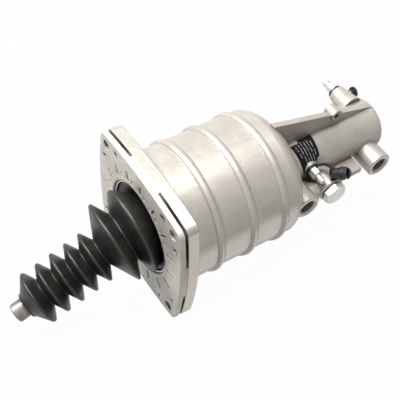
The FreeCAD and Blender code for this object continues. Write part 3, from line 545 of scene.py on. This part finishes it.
def make_gaiter_folds():
    """All folds in one skin, which bends between the piston and the rod."""
    line = rounded_line(*folds_outline())
    line = finer([tuple(p) for p in line], 0.0025) + finer(folds_lining(), 0.006)
    rings = [gaiter_ring(s, r) for s, r in line]
    skin = ring_skin("gaiter_folds", rings, MATERIALS["rubber_black"])
    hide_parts("gaiter")
    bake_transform(skin)


def mouth_skin(name, outline, radius):
    line = rounded_line(outline + [outline[0]], [radius] * (len(outline) + 1), 4)
    rings = [circle(Vector((p[0], 0, 0)), Vector((-1, 0, 0)), p[1], 144) for p in line[:-1]]
    skin = ring_skin(name, rings, MATERIALS["rubber_black"])
    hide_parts("gaiter")
    return skin


def make_gaiter_mouth():
    """Bead in the cover's groove with its soft shoulder, and the throat that leads to the folds."""
    x, r = MOUTH_VALLEY
    g0, g1 = GROOVE_X[0] + 0.00015, GROOVE_X[1] - 0.00015
    shoulder = [(g0, GROOVE_R - 0.0003), (g0, 0.0474), (0.0043, 0.0464), (0.0034, 0.0440)]
    shoulder += [(0.0033, SHOULDER_R), (0.0048, SHOULDER_R), (0.0056, 0.0436), (g1, 0.0462)]
    shoulder += [(g1, GROOVE_R - 0.0003)]
    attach(mouth_skin("gaiter_mouth", shoulder, 0.0008), "housing")
    throat = [(0.00335, SHOULDER_R + 0.0003), (0.0036, 0.0408), (0.0052, 0.0370), (x - 0.0014, 0.0326)]
    throat += [(x - 0.0002, 0.0296), (x + 0.0012, 0.0262), (x + 0.0032, 0.0236), (x + 0.0040, 0.0240)]
    throat += [(x + 0.0024, 0.0270), (x + 0.0016, 0.0300), (0.0074, 0.0376), (0.0055, 0.0410)]
    throat += [(0.0046, SHOULDER_R + 0.0003)]
    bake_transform(mouth_skin("gaiter_throat", throat, 0.0010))


# Springs

def make_spring(name, node, axis):
    """The CAD coil again, as its own mesh on the housing, at its full length."""
    low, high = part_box(node)
    k = max(range(3), key=lambda i: abs(axis[i]))
    fixed, free = (high[k], low[k]) if axis[k] > 0 else (low[k], high[k])
    anchor = (low + high) / 2
    anchor[k] = fixed
    coil = bpy.data.objects.new(name, nodes[node].data.copy())
    bpy.context.scene.collection.objects.link(coil)
    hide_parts(node)
    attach(coil, "housing")
    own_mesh(coil)


# Threads in the open ports

def make_port_thread(name, place, metal):
    """Helical thread wall just inside the port's bore."""
    x, mouth = place
    count, steps = 72, 6
    start, end = mouth + PORT_MOUTH + 0.0001, mouth + PORT_DEPTH - 0.0002
    turns = (end - start) / THREAD_PITCH
    rows = int(turns * steps)
    rings = []
    for i in range(rows + 1):
        y = start + (end - start) * i / rows
        ring = []
        for k in range(count):
            a = 2 * math.pi * k / count
            phase = ((y - start) / THREAD_PITCH - k / count) % 1.0
            tooth = 1 - abs(2 * phase - 1)
            r = PORT_WALL_R - 0.00005 - THREAD_H * min(1.0, tooth * 1.3)
            ring.append(Vector((x + r * math.cos(a), y, PORT_Z + r * math.sin(a))))
        rings.append(ring)
    outer = PORT_WALL_R - 0.00003
    first = [Vector((x, start, PORT_Z)) + (p - Vector((x, p.y, PORT_Z))).normalized() * outer
             for p in rings[0]]
    last = [Vector((x, end, PORT_Z)) + (p - Vector((x, p.y, PORT_Z))).normalized() * outer
            for p in rings[-1]]
    skin = ring_skin(name, [first] + rings + [last], metal)
    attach(skin, "housing")


# Tag

def tag_point(p, q, lift=0.0):
    """Point on the tag's face: p from its left corner to its top one, q from there down its length."""
    left, top, right, bottom = TAG_CORNERS
    x, turn = ((left[i] * (1 - p) + top[i] * p) * (1 - q) + (bottom[i] * (1 - p) + right[i] * p) * q
               for i in (0, 1))
    a = math.radians(turn)
    return Vector((x, -(TAG_R + lift) * math.sin(a), (TAG_R + lift) * math.cos(a)))


def tag_covers(p, q):
    """True where the tag is, inside its rounded corners and clear of what it is cut around."""
    inset = TAG_CORNER_R / TAG_SIDE
    dp, dq = max(inset - p, p - 1 + inset, 0), max(inset - q, q - 1 + inset, 0)
    point = tag_point(p, q)
    x, z, r = BLEED_BOSS
    on_pad = PAD_X[0] < point.x < PAD_X[1] and PAD_Y[0] < point.y < PAD_Y[1]
    on_boss = math.hypot(point.x - x, point.z - z) < r
    return math.hypot(dp, dq) <= inset and not on_pad and not on_boss and point.y < WEB_FACE_Y


def make_tag():
    count = 72
    grid = [[tag_point(i / count, j / count) for j in range(count + 1)] for i in range(count + 1)]
    vertices = [point for column in grid for point in column]
    faces = []
    for i in range(count):
        for j in range(count):
            if tag_covers((i + 0.5) / count, (j + 0.5) / count):
                a, b = i * (count + 1) + j, (i + 1) * (count + 1) + j
                faces.append((a, a + 1, b + 1, b))
    tag = mesh_object("tag_sheet", vertices, faces, MATERIALS["tag_film"])
    sheet = bmesh.new()
    sheet.from_mesh(tag.data)
    bmesh.ops.delete(sheet, geom=[v for v in sheet.verts if not v.link_faces], context="VERTS")
    bmesh.ops.recalc_face_normals(sheet, faces=sheet.faces)
    outward = Vector((0, 0, 0))
    for face in sheet.faces:
        outward += face.normal
    if outward.z < 0:
        bmesh.ops.reverse_faces(sheet, faces=sheet.faces)
    bmesh.ops.solidify(sheet, geom=sheet.faces, thickness=TAG_T)
    sheet.to_mesh(tag.data)
    sheet.free()
    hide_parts("data_tag")
    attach(tag, "housing")


def make_tag_print():
    """Pale bars in rows along the tag's sides, each with gaps, in place of the tag's print."""
    spans = [(0.12, 0.20, 0.24, 0.30, 0.36, 0.52), (0.08, 0.46, 0.52, 0.86),
             (0.07, 0.22, 0.27, 0.60, 0.66, 0.90), (0.12, 0.50, 0.55, 0.90),
             (0.14, 0.38, 0.43, 0.62, 0.67, 0.92), (0.22, 0.50, 0.58, 0.84)]
    width, parts = 0.036, 10
    vertices, faces = [], []
    for row, span in enumerate(spans):
        p0 = 0.13 + 0.135 * row
        for q0, q1 in zip(span[0::2], span[1::2]):
            base = len(vertices)
            for k in range(parts + 1):
                q = q0 + (q1 - q0) * k / parts
                vertices += [tag_point(p0 + w, q, lift) for w in (0, width) for lift in (0.00002, 0.00006)]
            for k in range(parts):
                i, j = base + 4 * k, base + 4 * (k + 1)
                faces += [(i + 1, i + 3, j + 3, j + 1), (i, j, j + 2, i + 2), (i, i + 1, j + 1, j)]
                faces += [(i + 2, j + 2, j + 3, i + 3)]
            end = base + 4 * parts
            faces += [(base, base + 2, base + 3, base + 1), (end, end + 1, end + 3, end + 2)]
    bars = mesh_object("tag_bars", vertices, faces, pale_print("pale_print"), smooth=False)
    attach(bars, "housing")


# Stage, light and camera

CAMERA_POS = Vector((-0.2101, -0.3640, 0.5828))
CAMERA_RIGHT = Vector((0.83993, -0.53865, 0.06607))
CAMERA_DOWN = Vector((-0.39148, -0.68570, -0.61364))
CAMERA_FORWARD = Vector((0.37584, 0.48956, -0.78682))
CAMERA_LENS = 68.67


def make_camera():
    data = bpy.data.cameras.new("camera")
    data.lens = CAMERA_LENS
    data.sensor_width = 36.0
    data.clip_start = 0.01
    camera = bpy.data.objects.new("camera", data)
    bpy.context.scene.collection.objects.link(camera)
    axes = Matrix((CAMERA_RIGHT, -CAMERA_DOWN, -CAMERA_FORWARD)).transposed()
    camera.matrix_world = Matrix.Translation(CAMERA_POS) @ axes.to_4x4()
    bpy.context.scene.camera = camera


def make_floor():
    """Floor that looks white to the camera and in reflections and keeps a soft shadow."""
    low = cad_box[0][2]
    size = 4.0
    corners = [(-size, -size, low), (size, -size, low), (size, size, low), (-size, size, low)]
    s = Shader("floor", (0.32, 0.32, 0.315), 0.9)
    white = s.node("ShaderNodeEmission")
    white.inputs["Color"].default_value = (1, 1, 1, 1)
    rays = s.node("ShaderNodeLightPath")
    seen = s.math("MAXIMUM", rays.outputs["Is Camera Ray"], rays.outputs["Is Glossy Ray"])
    seen = s.math("MAXIMUM", seen, rays.outputs["Is Transmission Ray"])
    blend = s.node("ShaderNodeMixShader")
    away = s.node("ShaderNodeVectorMath", operation="LENGTH")
    s.link(s.place, away.inputs[0])
    s.link(s.math("MULTIPLY", seen, s.ramp(away.outputs["Value"], 0.35, 1.1, 0.975, 1.0)), blend.inputs[0])
    s.link(s.bsdf.outputs[0], blend.inputs[1])
    s.link(white.outputs[0], blend.inputs[2])
    s.link(blend.outputs[0], s.out.inputs["Surface"])
    floor = mesh_object("floor", corners, [(0, 1, 2, 3)], s.material, smooth=False)


def make_world():
    world = bpy.data.worlds.new("studio")
    world.use_nodes = True
    tree = world.node_tree
    tree.nodes.clear()
    out = tree.nodes.new("ShaderNodeOutputWorld")
    rays = tree.nodes.new("ShaderNodeLightPath")
    direct = tree.nodes.new("ShaderNodeMath")
    direct.operation = "MAXIMUM"
    tree.links.new(rays.outputs["Is Camera Ray"], direct.inputs[0])
    tree.links.new(rays.outputs["Is Transmission Ray"], direct.inputs[1])
    seen = tree.nodes.new("ShaderNodeMath")
    seen.operation = "MAXIMUM"
    tree.links.new(direct.outputs[0], seen.inputs[0])
    tree.links.new(rays.outputs["Is Glossy Ray"], seen.inputs[1])
    light = tree.nodes.new("ShaderNodeBackground")
    light.inputs["Color"].default_value = (1.0, 0.99, 0.97, 1)
    light.inputs["Strength"].default_value = 0.05
    white = tree.nodes.new("ShaderNodeBackground")
    white.inputs["Color"].default_value = (1, 1, 1, 1)
    white.inputs["Strength"].default_value = 1.0
    mix = tree.nodes.new("ShaderNodeMixShader")
    tree.links.new(seen.outputs[0], mix.inputs[0])
    tree.links.new(light.outputs[0], mix.inputs[1])
    tree.links.new(white.outputs[0], mix.inputs[2])
    tree.links.new(mix.outputs[0], out.inputs["Surface"])
    bpy.context.scene.world = world


def area_light(name, place, target, size, power, colour=(1, 1, 1)):
    data = bpy.data.lights.new(name, "AREA")
    data.shape = "RECTANGLE"
    data.size, data.size_y = size
    data.energy = power
    data.color = colour
    lamp = bpy.data.objects.new(name, data)
    bpy.context.scene.collection.objects.link(lamp)
    aim = (Vector(target) - Vector(place)).to_track_quat("-Z", "Y")
    lamp.matrix_world = Matrix.Translation(place) @ aim.to_matrix().to_4x4()


def make_lights():
    centre = (0.08, 0.0, 0.0)
    area_light("key", (-0.38, 0.66, 0.95), centre, (0.6, 0.45), 25.0, (1.0, 0.99, 0.98))
    area_light("top", (0.04, 0.08, 1.25), centre, (0.45, 0.34), 18)
    area_light("fill", (-0.7, -0.9, 0.35), centre, (0.9, 0.7), 0.35, (1.0, 0.99, 0.98))


dress_cad_nodes()
make_gaiter_folds()
make_gaiter_mouth()
make_spring("return_coil", "return_spring", (1, 0, 0))
make_spring("relay_coil", "relay_spring", (0, -1, 0))
# Painted shade: the threads' metal is made near black so the port bores look shaded inside.
thread_metal_painted_shade = plated_steel("thread_metal_painted_shade", (0.065, 0.056, 0.045), (0.045, 0.038, 0.03), 0.42)
for port, place in PORTS.items():
    make_port_thread("port_thread_" + port, place, thread_metal_painted_shade)
make_tag()
make_tag_print()
make_floor()
make_world()
make_lights()
make_camera()

bpy.context.scene.view_settings.view_transform = "Standard"
